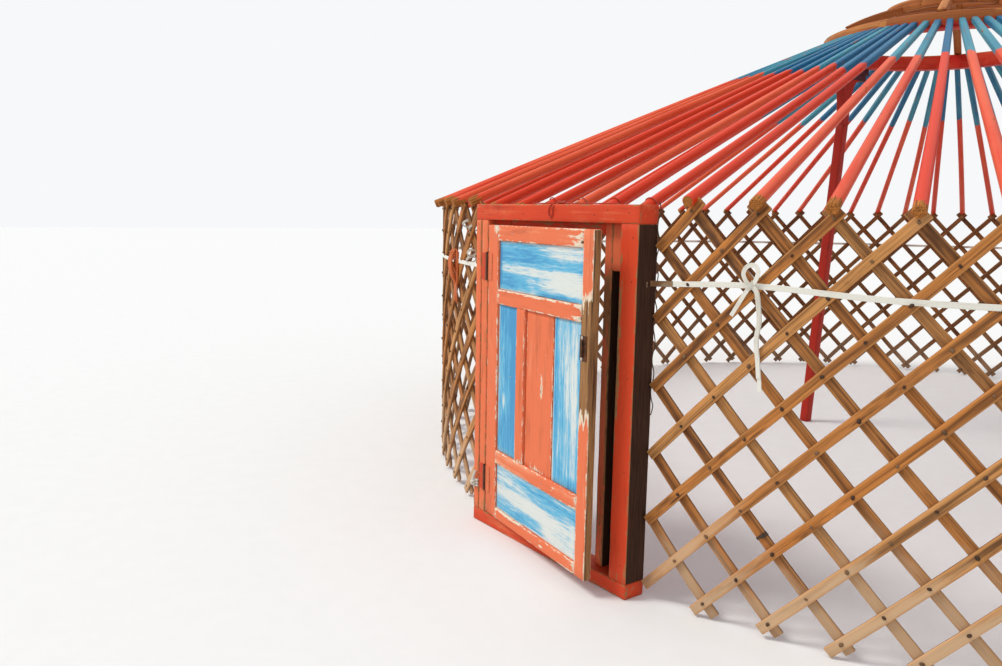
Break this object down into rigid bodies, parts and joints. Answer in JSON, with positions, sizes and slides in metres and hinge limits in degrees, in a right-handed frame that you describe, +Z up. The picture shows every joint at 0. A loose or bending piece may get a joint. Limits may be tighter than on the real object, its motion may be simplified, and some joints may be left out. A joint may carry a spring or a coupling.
{
  "type": "bare yurt frame",
  "caption": "Bare round yurt frame: folding lattice wall, framed wooden door, red roof poles and a domed crown on two pillars.",
  "frame": {"origin": "centre of the ring of the wall, on the ground", "axes": "+Z up, -Y out through the door, +X to the right seen from outside the door"},
  "size_m": [6.2462, 6.335, 2.7575],
  "materials": {
    "lath_wood": "sawn and weathered",
    "pole_red": "painted, worn",
    "crown_wood": "worn varnish",
    "frame_red": "painted, worn",
    "leaf_red": "painted, faded",
    "panel_blue": "painted, washed out",
    "iron": "rusted",
    "band_cloth": "woven"
  },
  "bodies": {
    "frame": {"wall_section_1_outer_laths": "lath_wood", "wall_section_1_inner_laths": "lath_wood", "roof_poles_section_1": "pole_red", "wall_section_2_outer_laths": "lath_wood", "wall_section_2_inner_laths": "lath_wood", "roof_poles_section_2": "pole_red", "wall_section_3_outer_laths": "lath_wood", "wall_section_3_inner_laths": "lath_wood", "roof_poles_section_3": "pole_red", "wall_section_4_outer_laths": "lath_wood", "wall_section_4_inner_laths": "lath_wood", "roof_poles_section_4": "pole_red", "wall_section_5_outer_laths": "lath_wood", "wall_section_5_inner_laths": "lath_wood", "roof_poles_section_5": "pole_red", "roof_poles_door": "pole_red", "crown_rim": "crown_wood", "crown_upper_hoop": "crown_wood", "crown_spokes": "crown_wood", "crown_hub": "crown_wood", "pillar_left": "pole_red", "pillar_right": "pole_red", "pillar_bracket_left": "pole_red", "pillar_bracket_right": "pole_red", "door_post_left": "frame_red", "door_post_right": "frame_red", "door_stop_left": "frame_red", "door_stop_right": "frame_red", "door_stop_head": "frame_red", "door_lintel": "frame_red", "door_threshold": "frame_red", "door_hinge_plates": "iron", "door_hinge_pins": "iron", "girth_band": "band_cloth"},
    "door_leaf": {"leaf_hinge_stile": "leaf_red", "leaf_lock_stile": "leaf_red", "leaf_rails": "leaf_red", "leaf_muntin": "leaf_red", "leaf_top_panel": "panel_blue", "leaf_left_panel": "panel_blue", "leaf_centre_panel": "leaf_red", "leaf_right_panel": "panel_blue", "leaf_bottom_panel": "panel_blue", "leaf_hinge_plates": "iron", "leaf_pull": "iron"}
  },
  "joints": [
    {"name": "door", "type": "hinge", "parent": "frame", "child": "door_leaf", "pos_m": [-0.425, -3.0943, 0], "axis": [0, 0, -1], "range_deg": [-8, 92]}
  ]
}
